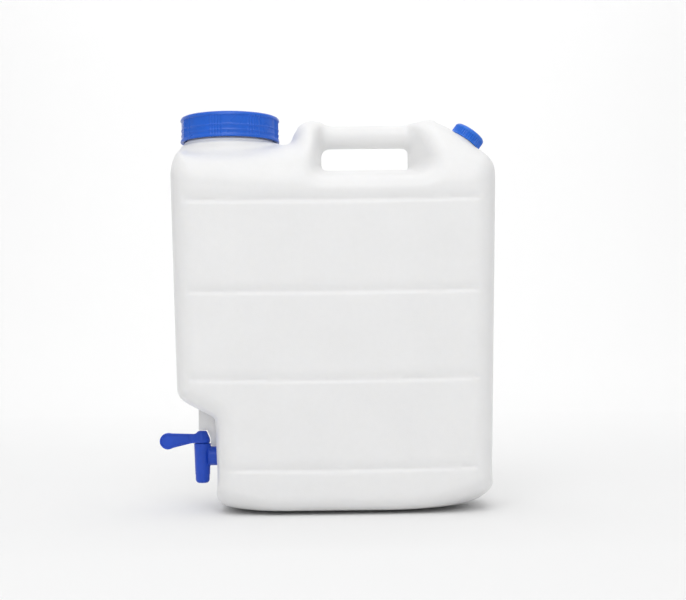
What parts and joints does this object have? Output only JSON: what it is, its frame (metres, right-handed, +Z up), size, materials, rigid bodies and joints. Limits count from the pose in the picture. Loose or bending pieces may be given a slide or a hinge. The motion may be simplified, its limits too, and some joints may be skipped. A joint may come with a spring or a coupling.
{
  "type": "detergent dispenser bottle",
  "caption": "Free-standing blown canister with wide screw lid, moulded-through handle, tilted vent cap and quarter-turn barrel tap in a stepped niche.",
  "frame": {"origin": "centre of the base face that the canister stands on", "axes": "+Z up, front face towards -Y, tap at the -X end, vent cap at the +X end"},
  "size_m": [0.364, 0.165, 0.42],
  "materials": {
    "canister_body": "satin natural white polyethylene, slightly translucent",
    "wide_lid": "satin moulded blue",
    "lid_gasket": "soft foam",
    "vent_cap": "satin moulded blue",
    "vent_cap_liner": "soft foam",
    "tap_body": "satin moulded blue",
    "tap_key": "satin moulded blue",
    "seal_rubber": "matt black",
    "tap_lock_nut": "satin moulded blue"
  },
  "bodies": {
    "canister": {"canister_body": "canister_body", "tap_body": "tap_body", "tap_washer_outer": "seal_rubber", "tap_washer_inner": "seal_rubber", "tap_lock_nut": "tap_lock_nut"},
    "lid_seal": {"lid_gasket": "lid_gasket"},
    "lid": {"wide_lid": "wide_lid"},
    "vent_seal": {"vent_cap_liner": "vent_cap_liner"},
    "vent": {"vent_cap": "vent_cap"},
    "key": {"tap_key": "tap_key", "key_o_ring_upper": "seal_rubber", "key_o_ring_lower": "seal_rubber"}
  },
  "joints": [
    {"name": "lid_rise", "type": "slide", "parent": "canister", "child": "lid_seal", "axis": [0, 0, 1], "range_m": [0, 0.009]},
    {"name": "lid_turn", "type": "hinge", "parent": "lid_seal", "child": "lid", "pos_m": [-0.1104, 0, 0.4], "axis": [0, 0, 1], "range_deg": [0, 540]},
    {"name": "vent_rise", "type": "slide", "parent": "canister", "child": "vent_seal", "axis": [0.5864, 0, 0.81], "range_m": [0, 0.0045]},
    {"name": "vent_turn", "type": "hinge", "parent": "vent_seal", "child": "vent", "pos_m": [0.1435, 0, 0.3926], "axis": [0.5864, 0, 0.81], "range_deg": [0, 540]},
    {"name": "key_turn", "type": "hinge", "parent": "canister", "child": "key", "pos_m": [-0.143, 0, 0.06], "axis": [0, 0, 1], "range_deg": [0, 90]}
  ],
  "couplings": [
    {"joint": "lid_rise", "follows": "lid_turn", "m_per_rad": 0.00095493},
    {"joint": "vent_rise", "follows": "vent_turn", "m_per_rad": 0.00047746}
  ]
}
